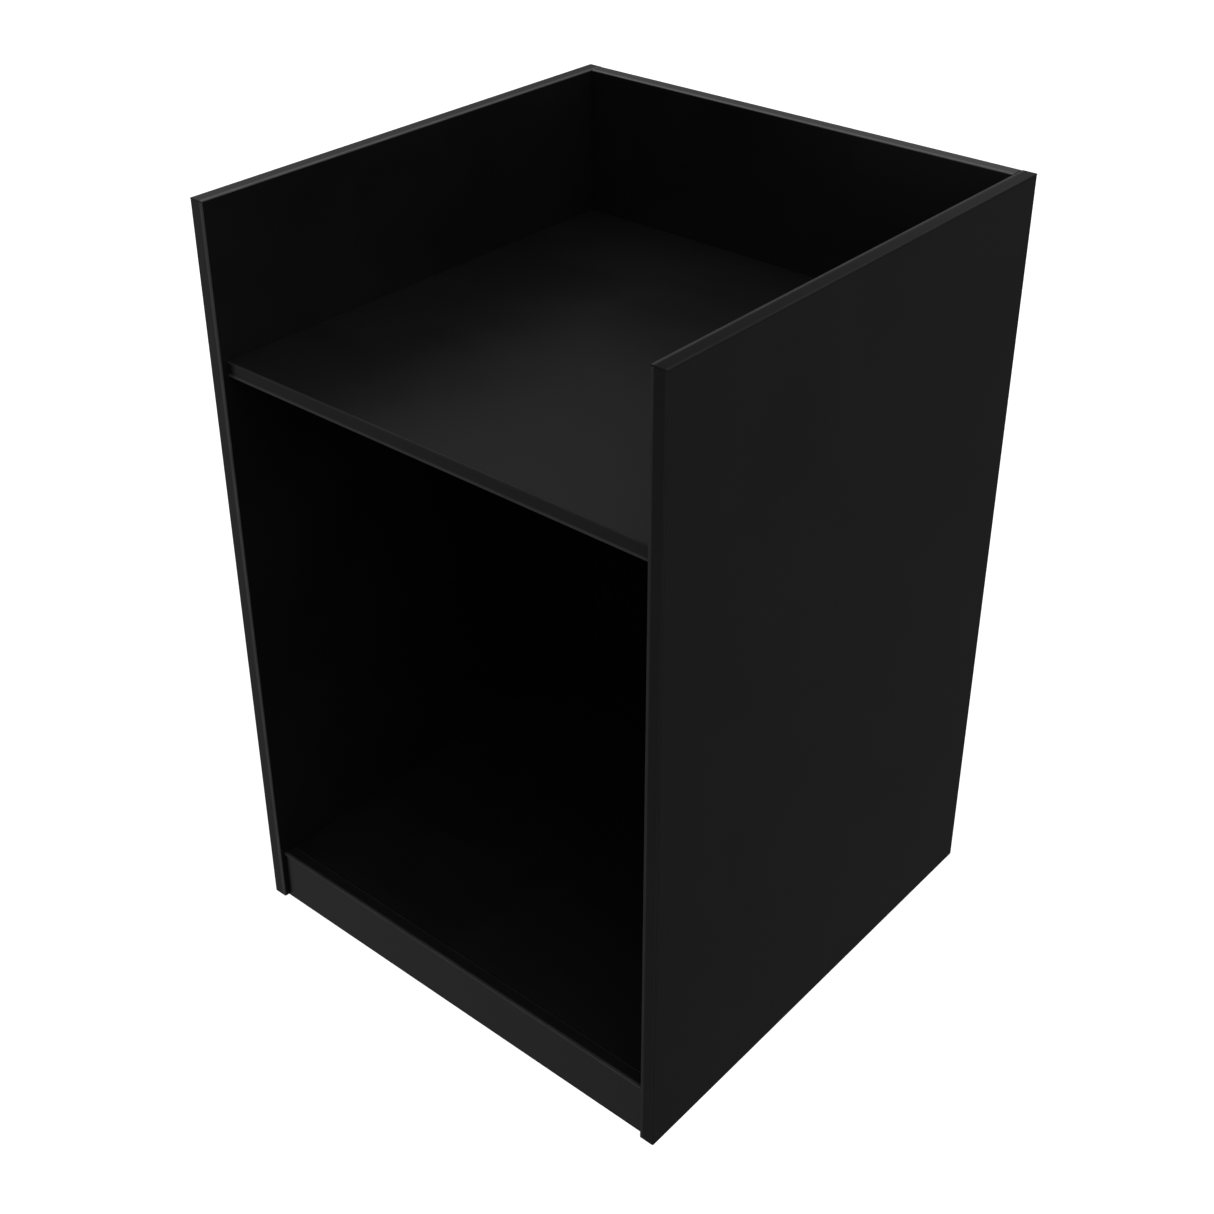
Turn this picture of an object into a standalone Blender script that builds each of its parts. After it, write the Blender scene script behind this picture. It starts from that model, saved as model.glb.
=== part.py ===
"""Counter-height podium of black laminated boards, joined by cam locks and dowels.

Metres, +Z up. The presenter stands at -Y, where the well above the work shelf and the
storage cavity below it are open. The audience is at +Y, behind the front panel. The
origin is the middle of the footprint, at floor level.
"""

import bmesh
import bpy
from mathutils import Matrix, Vector

# Driving dimensions of the case.
WIDTH = 0.610
DEPTH = 0.610
HEIGHT = 0.914
BOARD = 0.018
SHELF_TOP = 0.736
SHELF_SETBACK = 0.008
KICK_HEIGHT = 0.066
KICK_SETBACK = 0.006

# Edge bands: plastic strips on the edges of the boards, with rounded outer arrises.
BAND = 0.0015
ARRIS = 0.0012
ARRIS_SEGMENTS = 3
BAND_LIFT = 0.0005

# Clearance left between pieces that touch.
GAP = 0.0003

# Joints: positions of the fixings along the boards.
CAM_PITCH = 0.448
DOWEL_PITCH = 0.320
TOP_DOWEL_DROP = 0.064
KICK_CAM_HEIGHT = 0.024

# Cam lock: a zinc disc in a blind bore, with a pocket for the bolt's head and a drive cross.
CAM_REACH = 0.024
CAM_RADIUS = 0.0073
CAM_HEIGHT = 0.0123
CAM_SIDES = 24
CAM_BORE_RADIUS = 0.0077
CAM_BORE_DEPTH = 0.0131
NECK_SLOT = 0.0048
HEAD_POCKET = 0.0074
POCKET_SPARE = 0.0004
DRIVE_LENGTH = 0.0070
DRIVE_WIDTH = 0.0018
DRIVE_DEPTH = 0.0016

# Cam bolt: thread in the side panel, then shank, neck and head.
THREAD_LENGTH = 0.0110
THREAD_ROOT = 0.0020
THREAD_CREST = 0.0026
THREAD_TURNS = 3
SHANK_RADIUS = 0.0030
NECK_RADIUS = 0.0019
HEAD_RADIUS = 0.0032
HEAD_LENGTH = 0.0034
HEAD_SETBACK = 0.0014
HEAD_CHAMFER = 0.0006
THREAD_BORE_RADIUS = 0.0030
BOLT_BORE_RADIUS = 0.0036
BORE_SIDES = 12
TURN_STEPS = 12

# Dowel: beech pin across a butt joint, the short part of it in the face of a board.
DOWEL_RADIUS = 0.0040
DOWEL_IN_FACE = 0.0120
DOWEL_IN_EDGE = 0.0180
DOWEL_CHAMFER = 0.0010
DOWEL_BORE_RADIUS = 0.0044
BORE_SPARE = 0.0006

# Cover cap: a thin plastic disc over a cam lock, with a peg in its drive.
CAP_RADIUS = 0.0085
CAP_THICKNESS = 0.0014
CAP_CROWN = 0.0006
CAP_PEG_RADIUS = 0.0006
CAP_PEG_LENGTH = 0.0012
CAP_STEPS = 20

# How far a cutter starts outside the face that it cuts.
OVERRUN = 0.001

# Planes and centre lines that follow from the dimensions.
SIDE_INNER = WIDTH / 2 - BOARD
PRESENTER_EDGE = -DEPTH / 2
AUDIENCE_EDGE = DEPTH / 2
FRONT_INNER = DEPTH / 2 - BOARD
FRONT_MIDDLE = DEPTH / 2 - BOARD / 2
BANDED = BAND + GAP
SHELF_EDGE = PRESENTER_EDGE + SHELF_SETBACK
SHELF_MIDDLE = SHELF_TOP - BOARD / 2
KICK_FACE = PRESENTER_EDGE + KICK_SETBACK
KICK_MIDDLE = KICK_FACE + BOARD / 2
KICK_INNER = KICK_FACE + BOARD
FLOOR_MIDDLE = KICK_HEIGHT - BOARD / 2
CAVITY_MIDDLE = (KICK_HEIGHT + SHELF_TOP - BOARD) / 2

SIDES = (("left", -1), ("right", 1))

# Colour, roughness and metallic value of each material.
FINISHES = {
    "black_melamine": ((0.012, 0.012, 0.012), 0.50, 0.0),
    "black_edge_band": ((0.020, 0.020, 0.020), 0.38, 0.0),
    "zinc": ((0.52, 0.53, 0.55), 0.38, 1.0),
    "plated_steel": ((0.60, 0.60, 0.58), 0.30, 1.0),
    "beech": ((0.56, 0.38, 0.22), 0.65, 0.0),
    "black_plastic": ((0.015, 0.015, 0.015), 0.45, 0.0),
}


def clear_scene():
    """Remove every object that the file opened with."""
    for obj in list(bpy.data.objects):
        bpy.data.objects.remove(obj)


def make_collection(name):
    """A new collection in the scene."""
    collection = bpy.data.collections.new(name)
    bpy.context.scene.collection.children.link(collection)
    return collection


def make_materials():
    """One Principled material for each finish."""
    materials = {}
    for name, (colour, roughness, metallic) in FINISHES.items():
        material = bpy.data.materials.new(name)
        material.use_nodes = True
        shader = material.node_tree.nodes["Principled BSDF"]
        shader.inputs["Base Color"].default_value = (*colour, 1.0)
        shader.inputs["Roughness"].default_value = roughness
        shader.inputs["Metallic"].default_value = metallic
        material.diffuse_color = (*colour, 1.0)
        material.roughness = roughness
        material.metallic = metallic
        materials[name] = material
    return materials


def add_piece(name, mesh, material, matrix):
    """One named sub-part in the podium's collection, parented to the podium's empty."""
    piece = bpy.data.objects.new(name, mesh)
    if not mesh.materials:
        mesh.materials.append(MATERIALS[material])
    PARTS.objects.link(piece)
    piece.parent = PODIUM
    piece.matrix_local = matrix
    return piece


def add_cutter(name, mesh):
    """A hidden wire object that only cuts other pieces."""
    cutter = bpy.data.objects.new(name, mesh)
    CUTTERS.objects.link(cutter)
    cutter.display_type = "WIRE"
    cutter.hide_render = True
    return cutter


def cut(piece, cutter):
    """Take the cutter's shape away from the piece."""
    boolean = piece.modifiers.new(cutter.name, "BOOLEAN")
    boolean.operation = "DIFFERENCE"
    boolean.solver = "EXACT"
    boolean.object = cutter


def facing(origin, axis):
    """Matrix that puts local +Z along the axis, with its origin at the given point."""
    turn = axis.to_track_quat("Z", "Y").to_matrix().to_4x4()
    return Matrix.Translation(origin) @ turn


def box_mesh(name, size):
    """A box of the given size about its own centre."""
    mesh = bpy.data.meshes.new(name)
    body = bmesh.new()
    bmesh.ops.create_cube(body, size=1.0, matrix=Matrix.Diagonal((*size, 1.0)))
    body.to_mesh(mesh)
    body.free()
    return mesh


def drill_mesh(name, bores):
    """One mesh of closed cylinders, for bores given as (mouth, inward axis, depth, radius, sides)."""
    mesh = bpy.data.meshes.new(name)
    body = bmesh.new()
    for mouth, inward, depth, radius, sides in bores:
        length = depth + OVERRUN
        middle = mouth + inward * (depth - OVERRUN) / 2
        bmesh.ops.create_cone(
            body,
            cap_ends=True,
            segments=sides,
            radius1=radius,
            radius2=radius,
            depth=length,
            matrix=facing(middle, inward),
        )
    body.to_mesh(mesh)
    body.free()
    return mesh


def add_board(name, low, high):
    """A flat laminated board between two corners."""
    low, high = Vector(low), Vector(high)
    mesh = box_mesh(name, high - low)
    return add_piece(name, mesh, "black_melamine", Matrix.Translation((low + high) / 2))


def add_band(name, low, high, outward):
    """A strip of edge band whose two long edges on the outward face are rounded."""
    low, high, outward = Vector(low), Vector(high), Vector(outward)
    size = high - low
    mesh = box_mesh(name, size)
    body = bmesh.new()
    body.from_mesh(mesh)
    arrises = []
    for edge in body.edges:
        on_face = all(vert.co.dot(outward) > 0 for vert in edge.verts)
        if on_face and edge.calc_length() > 0.9 * max(size):
            arrises.append(edge)
    bmesh.ops.bevel(
        body,
        geom=arrises,
        offset=ARRIS,
        segments=ARRIS_SEGMENTS,
        profile=0.5,
        affect="EDGES",
    )
    body.to_mesh(mesh)
    body.free()
    return add_piece(name, mesh, "black_edge_band", Matrix.Translation((low + high) / 2))


def turned_profile(name, points):
    """The half outline (radius, height) of a turned piece, from its top down to its bottom."""
    mesh = bpy.data.meshes.new(name)
    vertices = [(radius, 0.0, height) for radius, height in points]
    links = [(i, i + 1) for i in range(len(points) - 1)]
    mesh.from_pydata(vertices, links, [])
    return mesh


def add_turned(name, profile, material, matrix, steps):
    """A turned piece: its outline swept round local Z."""
    piece = add_piece(name, profile, material, matrix)
    screw = piece.modifiers.new("turn", "SCREW")
    screw.axis = "Z"
    screw.steps = steps
    screw.render_steps = steps
    screw.use_merge_vertices = True
    screw.merge_threshold = 0.00005
    screw.use_smooth_shade = True
    return piece


def add_side_panels():
    """Left and right panel, short of their bands on three edges and bare at the floor."""
    boards = {}
    for side, sign in SIDES:
        inner, outer = sorted((sign * SIDE_INNER, sign * WIDTH / 2))
        low = (inner, PRESENTER_EDGE + BANDED, 0.0)
        high = (outer, AUDIENCE_EDGE - BANDED, HEIGHT - BANDED)
        name = f"{side}_side_panel"
        boards[name] = add_board(name, low, high)
    return boards


def add_cross_boards():
    """The four boards that stand or lie between the side panels."""
    reach = SIDE_INNER - GAP
    corners = {
        "front_panel": (
            (-reach, FRONT_INNER, 0.0),
            (reach, AUDIENCE_EDGE, HEIGHT - BANDED),
        ),
        "work_shelf": (
            (-reach, SHELF_EDGE + BANDED, SHELF_TOP - BOARD),
            (reach, FRONT_INNER - GAP, SHELF_TOP),
        ),
        "floor_panel": (
            (-reach, KICK_INNER + GAP, KICK_HEIGHT - BOARD),
            (reach, FRONT_INNER - GAP, KICK_HEIGHT),
        ),
        "kick_board": (
            (-reach, KICK_FACE, 0.0),
            (reach, KICK_INNER, KICK_HEIGHT - BANDED),
        ),
    }
    return {name: add_board(name, low, high) for name, (low, high) in corners.items()}


def add_side_bands():
    """Top, presenter and audience band of each side panel."""
    for side, sign in SIDES:
        inner, outer = sorted((sign * SIDE_INNER, sign * WIDTH / 2))
        add_band(
            f"{side}_panel_top_band",
            (inner, PRESENTER_EDGE, HEIGHT - BAND),
            (outer, AUDIENCE_EDGE, HEIGHT),
            (0, 0, 1),
        )
        add_band(
            f"{side}_panel_presenter_band",
            (inner, PRESENTER_EDGE, BAND_LIFT),
            (outer, PRESENTER_EDGE + BAND, HEIGHT - BANDED),
            (0, -1, 0),
        )
        add_band(
            f"{side}_panel_audience_band",
            (inner, AUDIENCE_EDGE - BAND, BAND_LIFT),
            (outer, AUDIENCE_EDGE, HEIGHT - BANDED),
            (0, 1, 0),
        )


def add_cross_bands():
    """Bands on the front panel's top, the shelf's presenter edge and the kick board's top."""
    reach = SIDE_INNER - GAP
    add_band(
        "front_panel_top_band",
        (-reach, FRONT_INNER, HEIGHT - BAND),
        (reach, AUDIENCE_EDGE, HEIGHT),
        (0, 0, 1),
    )
    add_band(
        "work_shelf_band",
        (-reach, SHELF_EDGE, SHELF_TOP - BOARD),
        (reach, SHELF_EDGE + BAND, SHELF_TOP),
        (0, -1, 0),
    )
    add_band(
        "kick_board_top_band",
        (-reach, KICK_FACE, KICK_HEIGHT - BAND),
        (reach, KICK_INNER, KICK_HEIGHT),
        (0, 0, 1),
    )


def cam_joints():
    """Every cam joint: name, cam's board, side panel, point on the side panel, cam's facing."""
    rows = (
        ("shelf", "work_shelf", -CAM_PITCH / 2, SHELF_MIDDLE, (0, 0, -1), "presenter"),
        ("shelf", "work_shelf", CAM_PITCH / 2, SHELF_MIDDLE, (0, 0, -1), "audience"),
        ("floor", "floor_panel", -CAM_PITCH / 2, FLOOR_MIDDLE, (0, 0, -1), "presenter"),
        ("floor", "floor_panel", CAM_PITCH / 2, FLOOR_MIDDLE, (0, 0, -1), "audience"),
        ("front", "front_panel", FRONT_MIDDLE, CAVITY_MIDDLE - CAM_PITCH / 2, (0, -1, 0), "lower"),
        ("front", "front_panel", FRONT_MIDDLE, CAVITY_MIDDLE + CAM_PITCH / 2, (0, -1, 0), "upper"),
        ("kick", "kick_board", KICK_MIDDLE, KICK_CAM_HEIGHT, (0, 1, 0), "end"),
    )
    joints = []
    for side, sign in SIDES:
        for short, board, y, z, normal, place in rows:
            point = Vector((sign * SIDE_INNER, y, z))
            along = Vector((-sign, 0, 0))
            name = f"{short}_{side}_{place}"
            joints.append((name, board, f"{side}_side_panel", point, along, Vector(normal)))
    return joints


def dowel_joints():
    """Every dowel joint: name, board bored in its face, board bored in its edge, point, axis."""
    joints = []
    half = DOWEL_PITCH / 2
    for side, sign in SIDES:
        panel = f"{side}_side_panel"
        inward = Vector((-sign, 0, 0))
        x = sign * SIDE_INNER
        top = Vector((x, FRONT_MIDDLE, HEIGHT - TOP_DOWEL_DROP))
        shelf = Vector((x, 0, SHELF_MIDDLE))
        floor = Vector((x, 0, FLOOR_MIDDLE))
        joints.append((f"shelf_{side}", panel, "work_shelf", shelf, inward))
        joints.append((f"floor_{side}", panel, "floor_panel", floor, inward))
        joints.append((f"front_{side}", panel, "front_panel", top, inward))
        shelf_far = Vector((sign * half, FRONT_INNER, SHELF_MIDDLE))
        floor_far = Vector((sign * half, FRONT_INNER, FLOOR_MIDDLE))
        floor_near = Vector((sign * half, KICK_INNER, FLOOR_MIDDLE))
        back = Vector((0, -1, 0))
        joints.append((f"shelf_front_{side}", "front_panel", "work_shelf", shelf_far, back))
        joints.append((f"floor_front_{side}", "front_panel", "floor_panel", floor_far, back))
        joints.append((f"floor_kick_{side}", "kick_board", "floor_panel", floor_near, -back))
    return joints


def bore_boards(boards):
    """Drill every board: blind bores in its faces first, then those in its edges."""
    face_bores = {name: [] for name in boards}
    edge_bores = {name: [] for name in boards}
    for _, board, panel, point, along, normal in cam_joints():
        centre = point + along * CAM_REACH
        mouth = centre + normal * BOARD / 2
        face_bores[board].append((mouth, -normal, CAM_BORE_DEPTH, CAM_BORE_RADIUS, CAM_SIDES))
        edge_bores[board].append((point, along, CAM_REACH, BOLT_BORE_RADIUS, BORE_SIDES))
        depth = THREAD_LENGTH + BORE_SPARE
        face_bores[panel].append((point, -along, depth, THREAD_BORE_RADIUS, BORE_SIDES))
    for _, face_board, edge_board, point, axis in dowel_joints():
        in_face = DOWEL_IN_FACE + BORE_SPARE
        in_edge = DOWEL_IN_EDGE + BORE_SPARE
        face_bores[face_board].append((point, -axis, in_face, DOWEL_BORE_RADIUS, BORE_SIDES))
        edge_bores[edge_board].append((point, axis, in_edge, DOWEL_BORE_RADIUS, BORE_SIDES))
    for name, board in boards.items():
        for kind, bores in (("face", face_bores[name]), ("edge", edge_bores[name])):
            if bores:
                label = f"{name}_{kind}_bores"
                cut(board, add_cutter(label, drill_mesh(label, bores)))


def cam_lock_cuts():
    """Low and high corners of the boxes cut from a cam lock: neck slot, head pocket, drive cross."""
    axis = -(BOARD / 2 - GAP)
    below = -(CAM_HEIGHT + OVERRUN)
    neck = NECK_SLOT / 2
    head = HEAD_POCKET / 2
    head_near = HEAD_SETBACK + POCKET_SPARE
    head_far = HEAD_SETBACK - HEAD_LENGTH - POCKET_SPARE
    arm = DRIVE_LENGTH / 2
    width = DRIVE_WIDTH / 2
    return (
        ((0.0, -neck, below), (CAM_RADIUS + OVERRUN, neck, axis + neck)),
        ((head_far, -head, below), (head_near, head, axis + head)),
        ((-arm, -width, -DRIVE_DEPTH), (arm, width, OVERRUN)),
        ((-width, -arm, -DRIVE_DEPTH), (width, arm, OVERRUN)),
    )


def cam_lock_mesh():
    """A disc whose face is at local Z = 0, with its drive cross there and a bolt slot at +X."""
    mesh = bpy.data.meshes.new("cam_lock")
    body = bmesh.new()
    bmesh.ops.create_cone(
        body,
        cap_ends=True,
        segments=CAM_SIDES,
        radius1=CAM_RADIUS,
        radius2=CAM_RADIUS,
        depth=CAM_HEIGHT,
        matrix=Matrix.Translation((0, 0, -CAM_HEIGHT / 2)),
    )
    body.to_mesh(mesh)
    body.free()
    blank = add_piece("cam_lock_blank", mesh, "zinc", Matrix.Identity(4))

    cutters = []
    for number, (low, high) in enumerate(cam_lock_cuts()):
        low, high = Vector(low), Vector(high)
        cutter = add_cutter(f"cam_lock_cut_{number}", box_mesh("cam_lock_cut", high - low))
        cutter.location = (low + high) / 2
        cut(blank, cutter)
        cutters.append(cutter)
    bpy.context.view_layer.update()
    graph = bpy.context.evaluated_depsgraph_get()
    finished = bpy.data.meshes.new_from_object(blank.evaluated_get(graph))
    for scrap in (blank, *cutters):
        bpy.data.objects.remove(scrap)
    return finished


def cam_bolt_profile():
    """Outline of a bolt along local Z: head at the top, the panel's face at 0, thread below."""
    head_bottom = CAM_REACH - HEAD_SETBACK
    head_top = head_bottom + HEAD_LENGTH
    neck_bottom = CAM_REACH - CAM_RADIUS - GAP
    points = [
        (0.0, head_top),
        (HEAD_RADIUS, head_top - HEAD_CHAMFER),
        (HEAD_RADIUS, head_bottom),
        (NECK_RADIUS, head_bottom),
        (NECK_RADIUS, neck_bottom),
        (SHANK_RADIUS, neck_bottom),
        (SHANK_RADIUS, GAP),
    ]
    pitch = THREAD_LENGTH / (THREAD_TURNS + 1)
    for turn in range(THREAD_TURNS):
        root = -pitch * turn
        points.append((THREAD_ROOT, root if turn else GAP))
        points.append((THREAD_CREST, root - pitch / 2))
    points.append((THREAD_ROOT, -pitch * THREAD_TURNS))
    points.append((0.0, -THREAD_LENGTH))
    return turned_profile("cam_bolt", points)


def dowel_profile():
    """Outline of a dowel along local Z: the joint at 0, the board's edge bore above it."""
    inner = DOWEL_RADIUS - DOWEL_CHAMFER
    points = (
        (0.0, DOWEL_IN_EDGE),
        (inner, DOWEL_IN_EDGE),
        (DOWEL_RADIUS, DOWEL_IN_EDGE - DOWEL_CHAMFER),
        (DOWEL_RADIUS, -DOWEL_IN_FACE + DOWEL_CHAMFER),
        (inner, -DOWEL_IN_FACE),
        (0.0, -DOWEL_IN_FACE),
    )
    return turned_profile("dowel", points)


def cap_profile():
    """Outline of a cover cap along local Z: crowned top, rim, flat underside and peg."""
    points = (
        (0.0, CAP_THICKNESS),
        (CAP_RADIUS / 2, CAP_THICKNESS - CAP_CROWN / 4),
        (CAP_RADIUS - CAP_CROWN, CAP_THICKNESS - CAP_CROWN),
        (CAP_RADIUS, GAP),
        (CAP_PEG_RADIUS, GAP),
        (CAP_PEG_RADIUS, -CAP_PEG_LENGTH),
        (0.0, -CAP_PEG_LENGTH),
    )
    return turned_profile("cam_cap", points)


def add_cam_fixings():
    """A lock and a bolt at every cam joint, and a cover cap where the lock would show."""
    lock_mesh = cam_lock_mesh()
    bolt_profile = cam_bolt_profile()
    cover_profile = cap_profile()
    for name, board, _, point, along, normal in cam_joints():
        add_turned(f"cam_bolt_{name}", bolt_profile, "plated_steel", facing(point, along), TURN_STEPS)
        toward_bolt = -along
        across = normal.cross(toward_bolt)
        turn = Matrix((toward_bolt, across, normal)).transposed().to_4x4()
        face = point + along * CAM_REACH + normal * BOARD / 2
        place = Matrix.Translation(face - normal * GAP) @ turn
        add_piece(f"cam_lock_{name}", lock_mesh, "zinc", place)
        if board == "front_panel":
            matrix = facing(face, normal)
            add_turned(f"cam_cap_{name}", cover_profile, "black_plastic", matrix, CAP_STEPS)


def add_dowels():
    """One dowel at every dowel joint."""
    profile = dowel_profile()
    for name, _, _, point, axis in dowel_joints():
        add_turned(f"dowel_{name}", profile, "beech", facing(point, axis), TURN_STEPS)


clear_scene()
PARTS = make_collection("podium")
CUTTERS = make_collection("podium_cutters")
PODIUM = bpy.data.objects.new("podium_origin", None)
PARTS.objects.link(PODIUM)
MATERIALS = make_materials()

case_boards = {**add_side_panels(), **add_cross_boards()}
bore_boards(case_boards)
add_side_bands()
add_cross_bands()
add_cam_fixings()
add_dowels()
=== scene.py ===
"""Looks, light and camera for the counter-height podium of black laminated boards.

Metres, +Z up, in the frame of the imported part. The presenter's open side faces -Y and the
front panel faces the audience at +Y. The CAD's boards and edge bands keep their shape and get
procedural materials. Each plain cam lock, cam bolt, dowel and cover cap of the CAD is replaced
by a finely made one in the same place.
"""

import math

import bpy
from mathutils import Matrix, Vector


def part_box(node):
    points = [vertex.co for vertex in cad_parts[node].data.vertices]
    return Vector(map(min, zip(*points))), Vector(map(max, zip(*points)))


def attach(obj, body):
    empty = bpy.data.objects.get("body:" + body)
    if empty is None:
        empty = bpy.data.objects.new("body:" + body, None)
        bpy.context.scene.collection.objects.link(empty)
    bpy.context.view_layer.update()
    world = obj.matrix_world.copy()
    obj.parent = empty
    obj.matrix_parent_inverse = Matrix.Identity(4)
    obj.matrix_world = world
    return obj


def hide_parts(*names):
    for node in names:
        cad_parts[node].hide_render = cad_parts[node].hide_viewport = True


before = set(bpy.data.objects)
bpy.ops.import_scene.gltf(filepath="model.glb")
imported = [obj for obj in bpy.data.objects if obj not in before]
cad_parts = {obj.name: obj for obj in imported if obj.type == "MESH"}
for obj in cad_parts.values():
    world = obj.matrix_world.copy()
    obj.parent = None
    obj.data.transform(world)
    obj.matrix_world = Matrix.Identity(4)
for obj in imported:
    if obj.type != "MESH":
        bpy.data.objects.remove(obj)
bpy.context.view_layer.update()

# Camera: where it stands round the point that it looks at, in degrees and metres.
CAMERA_AIM = Vector((-0.0105, -0.0091, 0.5329))
CAMERA_AZIMUTH = 40.4
CAMERA_ELEVATION = 30.26
CAMERA_DISTANCE = 1.987
CAMERA_LENS = 52.5
CAMERA_SENSOR = 36.0
CAMERA_SHIFT_Y = -0.08

# Studio light: soft glows, seen in the boards' sheen. Each has an azimuth and an elevation in
# degrees, a tightness and a strength. Azimuth 0 is on the presenter's side, and 90 at +X.
GLOWS = {
    "rim_low": (217, 8, 30, 0.09),
    "rim_mid": (228, 12, 60, 0.144),
    "rim_left": (240, 22, 25, 0.096),
    "rim_far": (203, 20, 60, 0.178),
    "rim_right": (197, 10, 30, 0.326),
    "left_high": (262, 36, 14, 0.887),
    "overhead": (0, 90, 4, 0.33),
    "front_high": (30, 60, 6, 0.575),
    "right_low": (140, -15, 8, 0.076),
    "right_floor": (140, -50, 8, 0.043),
    "right_fill": (85, 12, 6, 0.855),
    "left_low": (300, -10, 10, 0.262),
    "edge_mid": (316, -32, 14, 0.052),
    "kick_floor": (322, -48, 12, 0.142),
    "kick_low": (330, -20, 14, 0.121),
}

# Pale floor and backdrop.
FLOOR_REACH = 40.0
FLOOR_DROP = 0.0003
FLOOR_GLOW = 0.90
FLOOR_ALBEDO = 0.80
BACKDROP_WHITE = 1.0

# Sockets that are the same all over a surface. An edge band has its own index of refraction.
LAMINATE = {"IOR": 1.5, "Metallic": 0.0}
PLASTIC = {"IOR": 1.5, "Metallic": 0.0}
WOOD = {"IOR": 1.46, "Metallic": 0.0}
METAL = {"Metallic": 1.0}

# A board is black within this depth of the planes of its box, and bare where it is bored.
SKIN_DEPTH = 0.0001

# Mean roughness of the laminate on upright boards and on level ones, how much wiping marks and
# cloudy patches change it, and its darkest and palest grey. The wiping marks are a noise scaled
# by a stroke along X, Y and Z, and are long where it is small.
UPRIGHT_DULL = 0.312
LEVEL_DULL = 0.392
DULL_SPREAD = 0.012
LAMINATE_GREYS = (0.0080, 0.0100)
UPRIGHT_STROKE = (16.0, 16.0, 3.0)
LEVEL_STROKE = (3.0, 16.0, 3.0)

# Width of the rubbed strip along an edge band's inner arris, and where it has faded out. Its lighter
# base colour is partly wear and partly a painted highlight line. The other arris is rubbed too, less
# widely and with this share of the strength. The rub is patchy, and the last of these numbers is what
# is left of it where it is weakest.
RUB_AND_HIGHLIGHT = 0.0030
RUB_AND_HIGHLIGHT_FADE = 0.0048
FAINT_RUB_AND_HIGHLIGHT = 0.0012
FAINT_RUB_AND_HIGHLIGHT_FADE = 0.0026
FAINT_RUB_AND_HIGHLIGHT_SHARE = 0.35
LEAST_RUB_AND_HIGHLIGHT = 0.7

# How far a strip's surface has to turn to the way that the strip faces, as cosines: to take the
# rub and its painted highlight, and to be its outer face and not one of its trimmed sides.
RUB_AND_HIGHLIGHT_FACING = (0.1, 0.5)
OUTER_FACING = (0.3, 0.8)

# Greys of an edge strip: its outer face, and its sides, where it was trimmed flush. The sides' paler
# grey also reaches the outer facets of the rounded arrises, and is partly a trim mark and partly a
# painted highlight line along the strip's edges. Its draw lines are this fine across it, and this long
# along it, both as scales of a noise.
STRIP_GREY = 0.010
TRIMMED_AND_HIGHLIGHT_GREY = 0.024
STRIP_ROUGHNESS = (0.29, 0.34)
LINES_ACROSS = 900.0
LINES_ALONG = 14.0

# Greys of the moulded cover caps.
CAP_GREYS = (0.010, 0.014)

# Colours of bare chipboard, beech, die-cast zinc and zinc-plated steel.
CHIP_DARK = (0.30, 0.19, 0.10, 1.0)
CHIP_PALE = (0.62, 0.46, 0.29, 1.0)
CHIP_RESIN = (0.17, 0.10, 0.055, 1.0)
BEECH_PALE = (0.66, 0.47, 0.29, 1.0)
BEECH_WARM = (0.50, 0.33, 0.19, 1.0)
BEECH_FLECK = (0.26, 0.15, 0.08, 1.0)
ZINC_BRIGHT = (0.56, 0.57, 0.59, 1.0)
ZINC_DULL = (0.36, 0.37, 0.39, 1.0)
STEEL_BRIGHT = (0.66, 0.66, 0.66, 1.0)
STEEL_YELLOW = (0.64, 0.60, 0.48, 1.0)

# Merging of the split corners of the CAD meshes, and the angle that stays a sharp edge.
WELD = 0.00002
SHARP_ANGLE = math.radians(40)

# Fixings are described in millimetres. BOLT_BODY, LOCK_RIM and CAP_CROWN are rings round an
# axis, each a height and a radius. BOLT_DRIVE and LOCK_DRIVE are cross-shaped sockets: an arm's
# length, half of its width, and the depth, at whose bottom the cross has shrunk to a share.
MM = 0.001
ROUND_SIDES = 64
DRIVE_TAPER = 0.8

# Cam bolt: its thread ends at the panel's face, at height 0, and its head is in the cam lock. The
# tip starts at a share of the thread's radius, and a ridge's width is a share of the pitch.
THREAD_LENGTH = 11.0
THREAD_PITCH = 1.6
THREAD_ROWS = 8
THREAD_ROOT = 1.9
THREAD_CREST = 2.6
THREAD_TAPER = 2.4
TIP_SHARE = 0.25
RIDGE_WIDTH = 0.36
RIDGE_STEEPNESS = 1.25
BOLT_SIDES = 32
BOLT_BODY = (
    (0.3, 1.9),
    (0.3, 2.7),
    (0.6, 3.0),
    (16.1, 3.0),
    (16.4, 2.7),
    (16.4, 1.9),
    (22.6, 1.9),
    (22.6, 2.8),
    (23.0, 3.2),
    (25.2, 3.2),
    (26.0, 2.5),
)
BOLT_DRIVE = (1.7, 0.45, 1.0)

# Dowel: fluted beech pin.
DOWEL_HALF = 15.0
DOWEL_RADIUS = 4.0
DOWEL_CHAMFER = 1.0
DOWEL_FLUTES = 16
FLUTE_DEPTH = 0.28

# Cam lock: its face is at height 0, and the bolt enters along +X. The slot for the bolt and the
# pocket for its head are boxes, each between two corners, and the arrow is a triangle.
LOCK_DEPTH = 12.3
LOCK_RADIUS = 7.3
LOCK_DRIVE = (3.5, 0.9, 1.6)
LOCK_RIM = (
    (-LOCK_DEPTH, 6.9),
    (0.4 - LOCK_DEPTH, LOCK_RADIUS),
    (-0.4, LOCK_RADIUS),
    (0.0, 6.9),
    (0.0, 6.3),
    (-0.25, 6.1),
    (-0.25, 5.8),
    (0.0, 5.6),
)
LOCK_SLOT = ((0.0, -2.4, -13.3), (8.3, 2.4, -6.3))
LOCK_POCKET = ((-2.4, -3.7, -13.3), (1.8, 3.7, -5.0))
LOCK_ARROW = ((5.3, 0.0), (4.1, 0.8), (4.1, -0.8))
ARROW_DEPTH = 0.25

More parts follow.
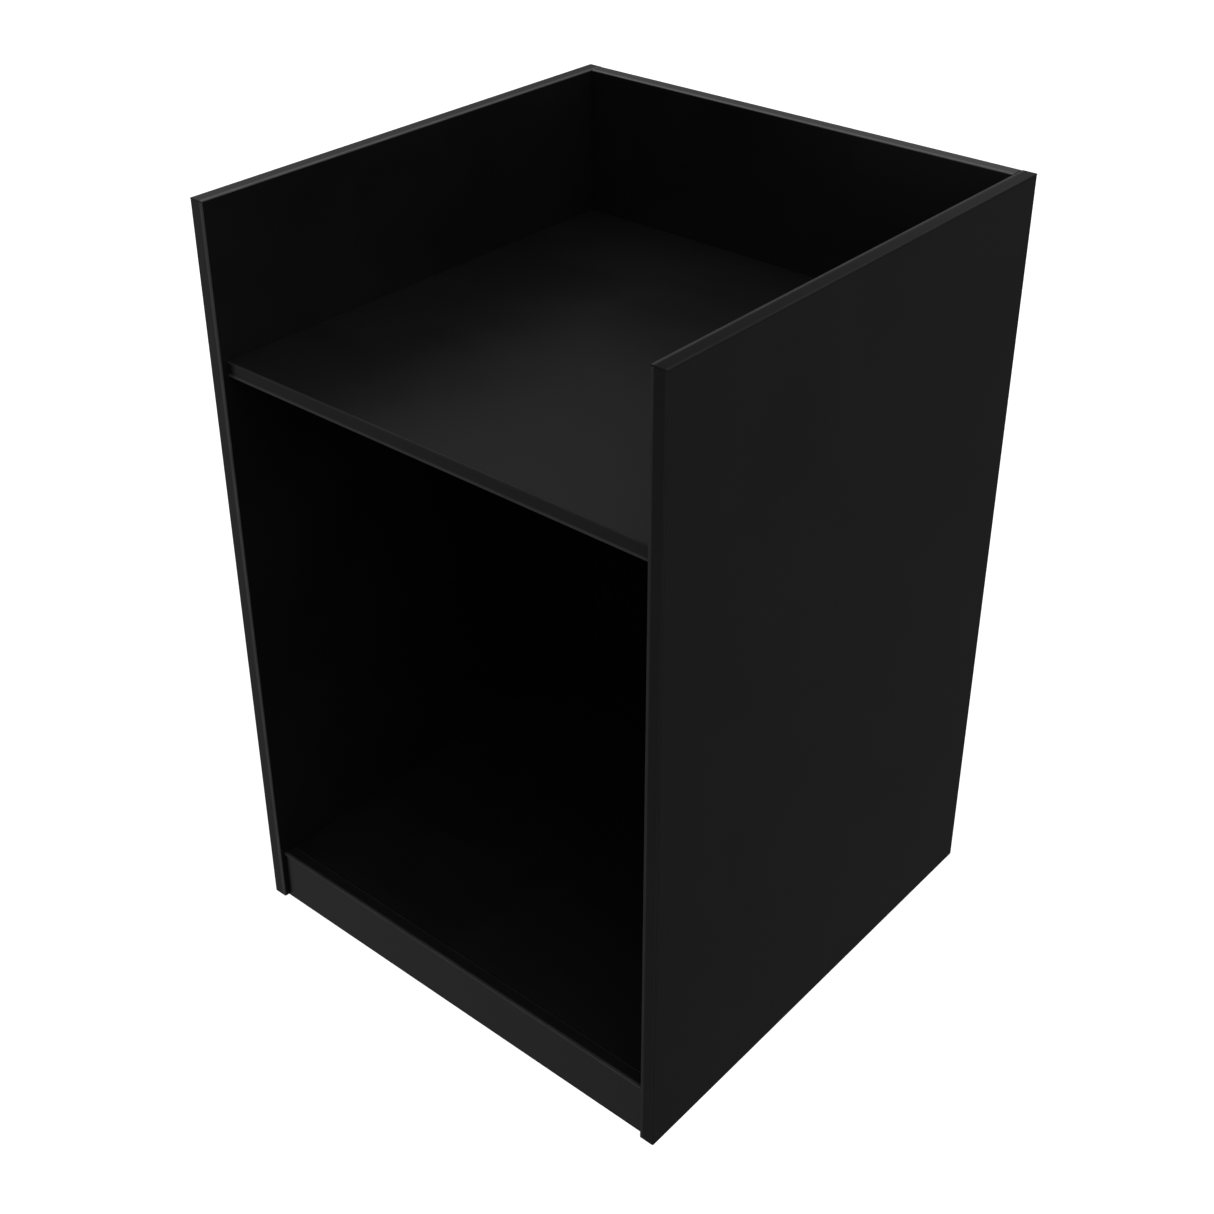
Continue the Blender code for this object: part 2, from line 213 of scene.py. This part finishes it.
# Cover cap: a crowned disc whose underside is just off the board's face, at height 0. Its peg
# is a cross too: an arm's length, half of its width, and the height of its tip. PEG_TAPER is its
# share of that size at the tip, and it has all of it from PEG_FULL of the tip's height.
CAP_PEG = (3.1, 0.7, -1.2)
PEG_TAPER = 0.85
PEG_FULL = 0.7
CAP_SKIRT = 0.3
CAP_FACE = 1.4
CAP_CROWN = (
    (CAP_SKIRT, 8.3),
    (0.5, 8.5),
    (0.8, 8.45),
    (1.0, 8.2),
    (1.15, 7.6),
    (1.25, 6.4),
    (1.33, 4.6),
    (1.38, 2.6),
    (CAP_FACE, 0.9),
)

AXES = {"X": 0, "Y": 1, "Z": 2}

# The way that a cam lock's face looks, by the board that it is in.
LOCK_FACINGS = {
    "shelf": Vector((0, 0, -1)),
    "floor": Vector((0, 0, -1)),
    "front": Vector((0, -1, 0)),
    "kick": Vector((0, 1, 0)),
}

# Each board's thickness direction.
BOARDS = {
    "left_side_panel": "X",
    "right_side_panel": "X",
    "front_panel": "Y",
    "kick_board": "Y",
    "work_shelf": "Z",
    "floor_panel": "Z",
}

# Each edge band's long axis, the side of its rubbed arris, the way that the rubbed part faces,
# its gloss as an index of refraction, and the grey that it is rubbed to. That grey is partly wear
# and partly a painted highlight, set lighter or darker band by band as the light falls on each.
LEFT, RIGHT = Vector((-1, 0, 0)), Vector((1, 0, 0))
PRESENTER, AUDIENCE = Vector((0, -1, 0)), Vector((0, 1, 0))
DOWN, UP = Vector((0, 0, -1)), Vector((0, 0, 1))
BANDS = {
    "left_panel_top_band": ("Y", RIGHT, UP, 1.44, 0.15),
    "right_panel_top_band": ("Y", LEFT, UP, 1.21, 0.09),
    "front_panel_top_band": ("X", PRESENTER, UP, 2.00, 0.15),
    "left_panel_presenter_band": ("Z", RIGHT, PRESENTER, 1.46, 0.10),
    "right_panel_presenter_band": ("Z", LEFT, PRESENTER, 1.30, 0.06),
    "left_panel_audience_band": ("Z", RIGHT, AUDIENCE, 1.40, 0.08),
    "right_panel_audience_band": ("Z", LEFT, AUDIENCE, 1.40, 0.08),
    "work_shelf_band": ("X", DOWN, PRESENTER, 1.35, 0.08),
    "kick_board_top_band": ("X", PRESENTER, (PRESENTER + UP).normalized(), 1.60, 0.07),
}


def direction(azimuth, elevation):
    """Unit vector towards a point at that azimuth, 0 on the presenter's side, and elevation."""
    a, e = math.radians(azimuth), math.radians(elevation)
    return Vector((math.sin(a) * math.cos(e), -math.cos(a) * math.cos(e), math.sin(e)))


class Tree:
    """Short calls to build a node tree."""

    def __init__(self, owner):
        owner.use_nodes = True
        self.tree = owner.node_tree
        self.tree.nodes.clear()

    def add(self, kind, inputs=(), **settings):
        """A new node. Inputs given as sockets are linked, and others are set."""
        made = self.tree.nodes.new(kind)
        for name, value in settings.items():
            setattr(made, name, value)
        for key, value in dict(inputs).items():
            if isinstance(value, bpy.types.NodeSocket):
                self.tree.links.new(value, made.inputs[key])
            else:
                made.inputs[key].default_value = value
        return made

    def maths(self, operation, *values):
        """Result of a Math node."""
        return self.add("ShaderNodeMath", enumerate(values), operation=operation).outputs[0]

    def remap(self, value, low, high, to_low=0.0, to_high=1.0):
        """A value carried smoothly from one range to another, and kept inside it."""
        inputs = {"Value": value, "From Min": low, "From Max": high}
        inputs.update({"To Min": to_low, "To Max": to_high})
        made = self.add("ShaderNodeMapRange", inputs, interpolation_type="SMOOTHSTEP")
        return made.outputs["Result"]

    def mix(self, share, first, second):
        """A colour between two colours."""
        made = self.add("ShaderNodeMix", {0: share, 6: first, 7: second}, data_type="RGBA")
        return made.outputs[2]

    def place(self):
        """The point on the piece, in metres, in the piece's own frame."""
        return self.add("ShaderNodeTexCoord").outputs["Object"]

    def stretched(self, vector, scale):
        """The point with each axis scaled."""
        inputs = {0: vector, 1: scale}
        return self.add("ShaderNodeVectorMath", inputs, operation="MULTIPLY").outputs[0]

    def noise(self, vector, scale, detail=2.0, roughness=0.5, distortion=0.0):
        """Fractal noise from 0 to 1."""
        inputs = {"Vector": vector, "Scale": scale, "Detail": detail}
        inputs.update({"Roughness": roughness, "Distortion": distortion})
        return self.add("ShaderNodeTexNoise", inputs).outputs[0]

    def bump(self, height, distance, normal=None):
        """A normal bent by a height field, with the height's range in metres."""
        inputs = {"Height": height, "Distance": distance, "Strength": 1.0}
        if normal is not None:
            inputs["Normal"] = normal
        return self.add("ShaderNodeBump", inputs).outputs[0]


def grey(value):
    """An opaque neutral colour."""
    return (value, value, value, 1.0)


def finish_material(tree, constants, patterns):
    """Principled shader with its constant sockets set and its patterned ones linked."""
    shader = tree.add("ShaderNodeBsdfPrincipled", {**constants, **patterns})
    tree.add("ShaderNodeOutputMaterial", {"Surface": shader.outputs[0]})


def melamine(name, stroke, dull):
    """Black laminate: fine pearl texture, and faint wiping marks along the board in its sheen."""
    material = bpy.data.materials.new(name)
    tree = Tree(material)
    place = tree.place()
    pearl = tree.noise(place, scale=1100.0, detail=1.0, roughness=0.45)
    dimple = tree.noise(place, scale=300.0)
    cloud = tree.noise(place, scale=7.0, detail=3.0, roughness=0.55, distortion=0.6)
    wiped = tree.stretched(place, stroke)
    wipe = tree.noise(wiped, scale=1.0, detail=4.0, roughness=0.6, distortion=0.4)
    sheen = tree.remap(wipe, 0.35, 0.70, dull - DULL_SPREAD, dull + DULL_SPREAD)
    patches = tree.remap(cloud, 0.30, 0.70, -DULL_SPREAD, DULL_SPREAD)
    dark, pale = LAMINATE_GREYS
    patterns = {
        "Base Color": tree.mix(tree.remap(cloud, 0.35, 0.65), grey(dark), grey(pale)),
        "Roughness": tree.maths("ADD", sheen, patches),
        "Normal": tree.bump(dimple, 0.000012, tree.bump(pearl, 0.000010)),
    }
    finish_material(tree, LAMINATE, patterns)
    return material


def chipboard(name):
    """Bare chipboard: pressed wood chips of mixed tone, crumbly where it is cut."""
    material = bpy.data.materials.new(name)
    tree = Tree(material)
    place = tree.place()
    chips = tree.add("ShaderNodeTexVoronoi", {"Vector": place, "Scale": 420.0})
    resin = tree.noise(place, scale=240.0, detail=4.0, roughness=0.65)
    tone = tree.add("ShaderNodeSeparateColor", {0: chips.outputs["Color"]}).outputs[0]
    wood = tree.mix(tone, CHIP_DARK, CHIP_PALE)
    patterns = {
        "Base Color": tree.mix(tree.remap(resin, 0.52, 0.70, 0.0, 0.75), wood, CHIP_RESIN),
        "Roughness": tree.remap(resin, 0.30, 0.70, 0.80, 0.92),
        "Normal": tree.bump(chips.outputs["Distance"], 0.0003, tree.bump(resin, 0.0004)),
    }
    finish_material(tree, WOOD, patterns)
    return material


def edge_band(name, node, axis, rubbed_side_with_highlight, outward, gloss, rub_and_highlight_grey):
    """Black plastic edge strip: fine draw lines, and two arrises rubbed lighter, one more than the
    other, partly wear and partly a painted highlight line.
    """
    low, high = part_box(node)
    across = max(range(3), key=lambda i: abs(rubbed_side_with_highlight[i]))
    middle, half = (low[across] + high[across]) / 2, (high[across] - low[across]) / 2
    material = bpy.data.materials.new(name)
    tree = Tree(material)
    place = tree.place()
    scale = [LINES_ACROSS] * 3
    scale[AXES[axis]] = LINES_ALONG
    lines = tree.noise(tree.stretched(place, scale), scale=1.0, roughness=0.6)
    patch = tree.noise(place, scale=24.0, detail=3.0, roughness=0.6)
    spot = tree.add("ShaderNodeSeparateXYZ", {0: place}).outputs[across]
    off_middle = tree.maths("MULTIPLY", tree.maths("SUBTRACT", spot, middle), rubbed_side_with_highlight[across])
    # Lighter strips along both arrises: partly wear, partly a painted highlight line.
    inner_rub_and_highlight = tree.remap(off_middle, half - RUB_AND_HIGHLIGHT_FADE, half - RUB_AND_HIGHLIGHT)
    other_rub_and_highlight = tree.maths("MULTIPLY", off_middle, -1.0)
    other_rub_and_highlight = tree.remap(other_rub_and_highlight, half - FAINT_RUB_AND_HIGHLIGHT_FADE, half - FAINT_RUB_AND_HIGHLIGHT, 0.0, FAINT_RUB_AND_HIGHLIGHT_SHARE)
    normal = tree.add("ShaderNodeNewGeometry").outputs["Normal"]
    inputs = {0: normal, 1: outward}
    facing = tree.add("ShaderNodeVectorMath", inputs, operation="DOT_PRODUCT").outputs["Value"]
    either_rub_and_highlight = tree.maths("MAXIMUM", inner_rub_and_highlight, other_rub_and_highlight)
    rub_and_highlight = tree.maths("MULTIPLY", either_rub_and_highlight, tree.remap(facing, *RUB_AND_HIGHLIGHT_FACING))
    rub_and_highlight = tree.maths("MULTIPLY", rub_and_highlight, tree.remap(patch, 0.25, 0.75, LEAST_RUB_AND_HIGHLIGHT, 1.0))
    # Sides and outer arris facets paler: partly trim marks, partly a painted highlight line.
    tone = tree.mix(tree.remap(facing, *OUTER_FACING), grey(TRIMMED_AND_HIGHLIGHT_GREY), grey(STRIP_GREY))
    patterns = {
        "Base Color": tree.mix(rub_and_highlight, tone, grey(rub_and_highlight_grey)),
        "Roughness": tree.remap(lines, 0.30, 0.70, *STRIP_ROUGHNESS),
        "Normal": tree.bump(lines, 0.000006),
    }
    finish_material(tree, {**PLASTIC, "IOR": gloss}, patterns)
    return material


def zinc(name):
    """Die-cast zinc: grey, slightly grainy, duller in patches."""
    material = bpy.data.materials.new(name)
    tree = Tree(material)
    place = tree.place()
    grain = tree.noise(place, scale=2600.0, detail=3.0, roughness=0.6)
    patch = tree.noise(place, scale=420.0, detail=4.0, roughness=0.55)
    patterns = {
        "Base Color": tree.mix(tree.remap(patch, 0.35, 0.7), ZINC_BRIGHT, ZINC_DULL),
        "Roughness": tree.remap(patch, 0.3, 0.7, 0.32, 0.52),
        "Normal": tree.bump(grain, 0.00002),
    }
    finish_material(tree, METAL, patterns)
    return material


def plated_steel(name):
    """Zinc-plated steel: bright, with fine turning lines and a faint yellow cast in places."""
    material = bpy.data.materials.new(name)
    tree = Tree(material)
    place = tree.place()
    lines = tree.noise(tree.stretched(place, (240.0, 240.0, 5200.0)), scale=1.0)
    patch = tree.noise(place, scale=260.0, detail=3.0)
    patterns = {
        "Base Color": tree.mix(tree.remap(patch, 0.35, 0.65), STEEL_BRIGHT, STEEL_YELLOW),
        "Roughness": tree.remap(lines, 0.3, 0.7, 0.22, 0.36),
        "Normal": tree.bump(lines, 0.000008),
    }
    finish_material(tree, METAL, patterns)
    return material


def beech(name):
    """Beech: pale, with short dark flecks along the grain, which runs along local Z."""
    material = bpy.data.materials.new(name)
    tree = Tree(material)
    along = tree.stretched(tree.place(), (1.0, 1.0, 0.12))
    grain = tree.noise(along, scale=700.0, detail=4.0, roughness=0.6)
    fleck = tree.noise(along, scale=2400.0)
    wood = tree.mix(tree.remap(grain, 0.3, 0.7), BEECH_PALE, BEECH_WARM)
    patterns = {
        "Base Color": tree.mix(tree.remap(fleck, 0.60, 0.75, 0.0, 0.7), wood, BEECH_FLECK),
        "Roughness": tree.remap(grain, 0.3, 0.7, 0.55, 0.72),
        "Normal": tree.bump(fleck, 0.00005),
    }
    finish_material(tree, WOOD, patterns)
    return material


def black_plastic(name):
    """Moulded black plastic with a fine spark texture."""
    material = bpy.data.materials.new(name)
    tree = Tree(material)
    place = tree.place()
    spark = tree.noise(place, scale=2200.0, detail=3.0, roughness=0.6)
    patch = tree.noise(place, scale=180.0, detail=3.0)
    dark, pale = CAP_GREYS
    patterns = {
        "Base Color": tree.mix(tree.remap(patch, 0.35, 0.65), grey(dark), grey(pale)),
        "Roughness": tree.remap(patch, 0.3, 0.7, 0.40, 0.50),
        "Normal": tree.bump(spark, 0.00002),
    }
    finish_material(tree, PLASTIC, patterns)
    return material


def dress(piece, *materials):
    """Give a CAD node its materials, in the order of their slots."""
    piece.data.materials.clear()
    for material in materials:
        piece.data.materials.append(material)


def bare_where_cut(piece, axis):
    """Use a board's second material in its bores and on the underside of an upright board."""
    low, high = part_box(piece.name)
    for polygon in piece.data.polygons:
        spot = polygon.center
        gaps = [min(abs(spot[i] - low[i]), abs(spot[i] - high[i])) for i in range(3)]
        underside = axis != "Z" and abs(spot.z - low.z) < SKIN_DEPTH
        polygon.material_index = 1 if underside or min(gaps) > SKIN_DEPTH else 0


def smooth_rounds(piece):
    """Shade the facets of a CAD node's rounds smooth, and keep its real edges sharp."""
    mesh = piece.data
    for name in ("custom_normal", "sharp_edge", "sharp_face"):
        layer = mesh.attributes.get(name)
        if layer is not None:
            mesh.attributes.remove(layer)
    weld = piece.modifiers.new("weld", "WELD")
    weld.merge_threshold = WELD
    split = piece.modifiers.new("sharp_edges", "EDGE_SPLIT")
    split.split_angle = SHARP_ANGLE
    split.use_edge_sharp = False
    piece.modifiers.new("flat_faces", "WEIGHTED_NORMAL")


def dress_frame():
    """Materials for the boards and their edge bands."""
    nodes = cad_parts
    core = chipboard("chipboard")
    upright = melamine("melamine_upright", UPRIGHT_STROKE, UPRIGHT_DULL)
    level = melamine("melamine_level", LEVEL_STROKE, LEVEL_DULL)
    for name, axis in BOARDS.items():
        dress(nodes[name], level if axis == "Z" else upright, core)
        bare_where_cut(nodes[name], axis)
    for name, traits in BANDS.items():
        dress(nodes[name], edge_band(f"plastic_{name}", name, *traits))
        smooth_rounds(nodes[name])


def turned(name, rings, sides):
    """Closed mesh round local Z. Each ring is a height and a radius, or a radius by angle, in mm."""
    vertices, faces = [], []
    for height, radius in rings:
        for side in range(sides):
            angle = math.tau * side / sides
            reach = radius(angle) if callable(radius) else radius
            x, y = reach * math.cos(angle), reach * math.sin(angle)
            vertices.append((x * MM, y * MM, height * MM))
    for row in range(len(rings) - 1):
        for side in range(sides):
            a = row * sides + side
            b = row * sides + (side + 1) % sides
            faces.append((a, b, b + sides, a + sides))
    last = (len(rings) - 1) * sides
    faces.append(tuple(reversed(range(sides))))
    faces.append(tuple(range(last, last + sides)))
    mesh = bpy.data.meshes.new(name)
    mesh.from_pydata(vertices, [], faces)
    return mesh


def cross(arm, half):
    """Radius by angle of a cross with arms of that length and half width."""

    def radius(angle):
        off = abs((angle + math.pi / 4) % (math.pi / 2) - math.pi / 4)
        return min(arm / math.cos(off), half / max(math.sin(off), half / (2 * arm)))

    return radius


def bolt_mesh():
    """Cam bolt along local Z: helical thread below height 0, then shank, neck and driven head."""
    rows = round(THREAD_LENGTH / THREAD_PITCH * THREAD_ROWS)
    rings = []
    for row in range(rows + 1):
        height = (row / rows - 1) * THREAD_LENGTH
        point = min(1.0, (height + THREAD_LENGTH) / THREAD_TAPER + TIP_SHARE)
        start = min(1.0, -height / THREAD_PITCH)

        def radius(angle, height=height, point=point, start=start):
            turn = (height / THREAD_PITCH - angle / math.tau) % 1
            ridge = max(0.0, 1 - abs(turn - 0.5) / RIDGE_WIDTH) * start
            rise = (THREAD_CREST - THREAD_ROOT) * min(1.0, RIDGE_STEEPNESS * ridge)
            return point * (THREAD_ROOT + rise)

        rings.append((height, radius))
    rings.extend(BOLT_BODY)
    arm, half, depth = BOLT_DRIVE
    top = BOLT_BODY[-1][0]
    rings.append((top, cross(arm, half)))
    rings.append((top - depth, cross(DRIVE_TAPER * arm, DRIVE_TAPER * half)))
    return turned("cam_bolt", rings, BOLT_SIDES)


def dowel_mesh():
    """Fluted dowel along local Z with chamfered ends."""

    def fluted(scale):
        def radius(angle):
            wave = (1 + math.cos(DOWEL_FLUTES * angle)) / 2
            return scale * (DOWEL_RADIUS - FLUTE_DEPTH * wave**3)

        return radius

    end = 1 - DOWEL_CHAMFER / DOWEL_RADIUS
    run = DOWEL_HALF - DOWEL_CHAMFER
    lower = ((-DOWEL_HALF, fluted(end)), (-run, fluted(1)))
    upper = ((run, fluted(1)), (DOWEL_HALF, fluted(end)))
    return turned("dowel", [*lower, *upper], ROUND_SIDES)


def cap_mesh():
    """Cover cap: crowned disc at local +Z, with a cross-shaped peg below height 0."""
    arm, half, tip = CAP_PEG
    full = cross(arm, half)
    shrunk = cross(PEG_TAPER * arm, PEG_TAPER * half)
    peg = [(tip, shrunk), (PEG_FULL * tip, full), (CAP_SKIRT, full)]
    return turned("cam_cap", [*peg, *CAP_CROWN], ROUND_SIDES)


def prism_mesh(name, outline, low, high):
    """A prism along local Z over an outline, in mm."""
    count = len(outline)
    vertices = [(x * MM, y * MM, z * MM) for z in (low, high) for x, y in outline]
    faces = [tuple(reversed(range(count))), tuple(range(count, 2 * count))]
    for i in range(count):
        j = (i + 1) % count
        faces.append((i, j, j + count, i + count))
    mesh = bpy.data.meshes.new(name)
    mesh.from_pydata(vertices, [], faces)
    return mesh


def lock_mesh():
    """Cam lock: turned body with a cross drive, an arrow, the bolt's slot and its head's pocket."""
    arm, half, depth = LOCK_DRIVE
    bottom = cross(DRIVE_TAPER * arm, DRIVE_TAPER * half)
    drive = [(0.0, cross(arm, half)), (-depth, bottom)]
    body = turned("cam_lock", [*LOCK_RIM, *drive], ROUND_SIDES)
    blank = bpy.data.objects.new("cam_lock_blank", body)
    scraps = [blank]
    prisms = [(LOCK_ARROW, -ARROW_DEPTH, 1.0)]
    for (x0, y0, z0), (x1, y1, z1) in (LOCK_SLOT, LOCK_POCKET):
        prisms.append((((x0, y0), (x1, y0), (x1, y1), (x0, y1)), z0, z1))
    for outline, low, high in prisms:
        prism = prism_mesh("cam_lock_cut", outline, low, high)
        cutter = bpy.data.objects.new("cam_lock_cut", prism)
        scraps.append(cutter)
        cut = blank.modifiers.new("cut", "BOOLEAN")
        cut.operation = "DIFFERENCE"
        cut.solver = "EXACT"
        cut.object = cutter
    for scrap in scraps:
        bpy.context.scene.collection.objects.link(scrap)
    graph = bpy.context.evaluated_depsgraph_get()
    finished = bpy.data.meshes.new_from_object(blank.evaluated_get(graph))
    for scrap in scraps:
        bpy.data.objects.remove(scrap)
    return finished


def turned_to(z_axis, x_axis, origin):
    """Matrix with local Z and X along two axes at right angles, at an origin."""
    y_axis = z_axis.cross(x_axis)
    matrix = Matrix((x_axis, y_axis, z_axis)).transposed().to_4x4()
    matrix.translation = origin
    return matrix


def fixing_place(kind, node):
    """Matrix that puts a fixing where its CAD node is."""
    low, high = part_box(node)
    middle = (low + high) / 2
    inward = Vector((1, 0, 0)) if "_left" in node else Vector((-1, 0, 0))
    if kind == "cam_bolt":
        tip = low if inward.x > 0 else high
        face = Vector((tip.x, middle.y, middle.z)) + inward * THREAD_LENGTH * MM
        return turned_to(inward, Vector((0, 0, 1)), face)
    if kind == "cam_lock":
        facing = LOCK_FACINGS[node.split("_")[2]]
        return turned_to(facing, -inward, middle + facing * LOCK_DEPTH / 2 * MM)
    if kind == "cam_cap":
        face = Vector((middle.x, low.y + CAP_FACE * MM, middle.z))
        return turned_to(Vector((0, -1, 0)), Vector((0, 0, 1)), face)
    size = high - low
    axis = Vector((1, 0, 0)) if size.x > size.y else Vector((0, 1, 0))
    return turned_to(axis, Vector((0, 0, 1)), middle)


def fit_fixings():
    """A finely made fixing in the place of each plain CAD one."""
    # The start of a node's name: its mesh, its material, its slot, and a word for its new name.
    kinds = {
        "cam_bolt": (bolt_mesh(), plated_steel("zinc_plated_steel"), "plated_steel", "threaded"),
        "cam_lock": (lock_mesh(), zinc("die_cast_zinc"), "zinc", "cast"),
        "cam_cap": (cap_mesh(), black_plastic("moulded_black_plastic"), "black_plastic", "moulded"),
        "dowel": (dowel_mesh(), beech("fluted_beech"), "beech", "fluted"),
    }
    for mesh, material, _, _ in kinds.values():
        mesh.materials.append(material)
        mesh.polygons.foreach_set("use_smooth", [True] * len(mesh.polygons))
        mesh.set_sharp_from_angle(angle=SHARP_ANGLE)
    for node in sorted(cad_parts):
        for kind, (mesh, _, slot, made) in kinds.items():
            if node.startswith(kind):
                piece = bpy.data.objects.new(f"{made}_{node}", mesh)
                bpy.context.scene.collection.objects.link(piece)
                piece.matrix_world = fixing_place(kind, node)
                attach(piece, "root")
                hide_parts(node)


def make_floor():
    """A pale floor that the podium stands on."""
    mesh = bpy.data.meshes.new("floor")
    r, z = FLOOR_REACH, -FLOOR_DROP
    mesh.from_pydata([(-r, -r, z), (r, -r, z), (r, r, z), (-r, r, z)], [], [(0, 1, 2, 3)])
    floor = bpy.data.objects.new("floor", mesh)
    bpy.context.scene.collection.objects.link(floor)
    material = bpy.data.materials.new("pale_floor")
    tree = Tree(material)
    matt = tree.add("ShaderNodeBsdfDiffuse", {"Color": grey(FLOOR_ALBEDO)})
    glow = tree.add("ShaderNodeEmission", {"Color": grey(1.0), "Strength": FLOOR_GLOW})
    both = tree.add("ShaderNodeAddShader", {0: matt.outputs[0], 1: glow.outputs[0]})
    tree.add("ShaderNodeOutputMaterial", {"Surface": both.outputs[0]})
    mesh.materials.append(material)
    floor.visible_diffuse = False
    floor.visible_glossy = False
    floor.visible_shadow = False


def make_studio():
    """White backdrop for the camera, and soft glows for everything else."""
    world = bpy.data.worlds.new("studio")
    bpy.context.scene.world = world
    tree = Tree(world)
    look = tree.add("ShaderNodeTexCoord").outputs["Generated"]
    total = None
    for name, (azimuth, elevation, tightness, strength) in GLOWS.items():
        inputs = {0: look, 1: direction(azimuth, elevation)}
        cosine = tree.add("ShaderNodeVectorMath", inputs, operation="DOT_PRODUCT").outputs["Value"]
        fall = tree.maths("EXPONENT", tree.maths("MULTIPLY_ADD", cosine, tightness, -tightness))
        inputs = {0: fall, 1: strength}
        glow = tree.add("ShaderNodeMath", inputs, operation="MULTIPLY", name=f"glow_{name}").outputs[0]
        total = glow if total is None else tree.maths("ADD", total, glow)
    light = tree.add("ShaderNodeBackground", {"Color": grey(1.0), "Strength": total})
    white = tree.add("ShaderNodeBackground", {"Color": grey(1.0), "Strength": BACKDROP_WHITE})
    seen = tree.add("ShaderNodeLightPath").outputs["Is Camera Ray"]
    inputs = {0: seen, 1: light.outputs[0], 2: white.outputs[0]}
    shown = tree.add("ShaderNodeMixShader", inputs)
    tree.add("ShaderNodeOutputWorld", {"Surface": shown.outputs[0]})


def make_camera():
    """Camera above the presenter's right, looking down into the well."""
    data = bpy.data.cameras.new("camera")
    data.lens = CAMERA_LENS
    data.sensor_width = CAMERA_SENSOR
    data.shift_y = CAMERA_SHIFT_Y
    camera = bpy.data.objects.new("camera", data)
    back = direction(CAMERA_AZIMUTH, CAMERA_ELEVATION)
    camera.location = CAMERA_AIM + back * CAMERA_DISTANCE
    camera.rotation_mode = "QUATERNION"
    camera.rotation_quaternion = (-back).to_track_quat("-Z", "Y")
    bpy.context.scene.collection.objects.link(camera)
    bpy.context.scene.camera = camera


dress_frame()
fit_fixings()
make_floor()
make_studio()
make_camera()
bpy.context.scene.view_settings.view_transform = "Standard"
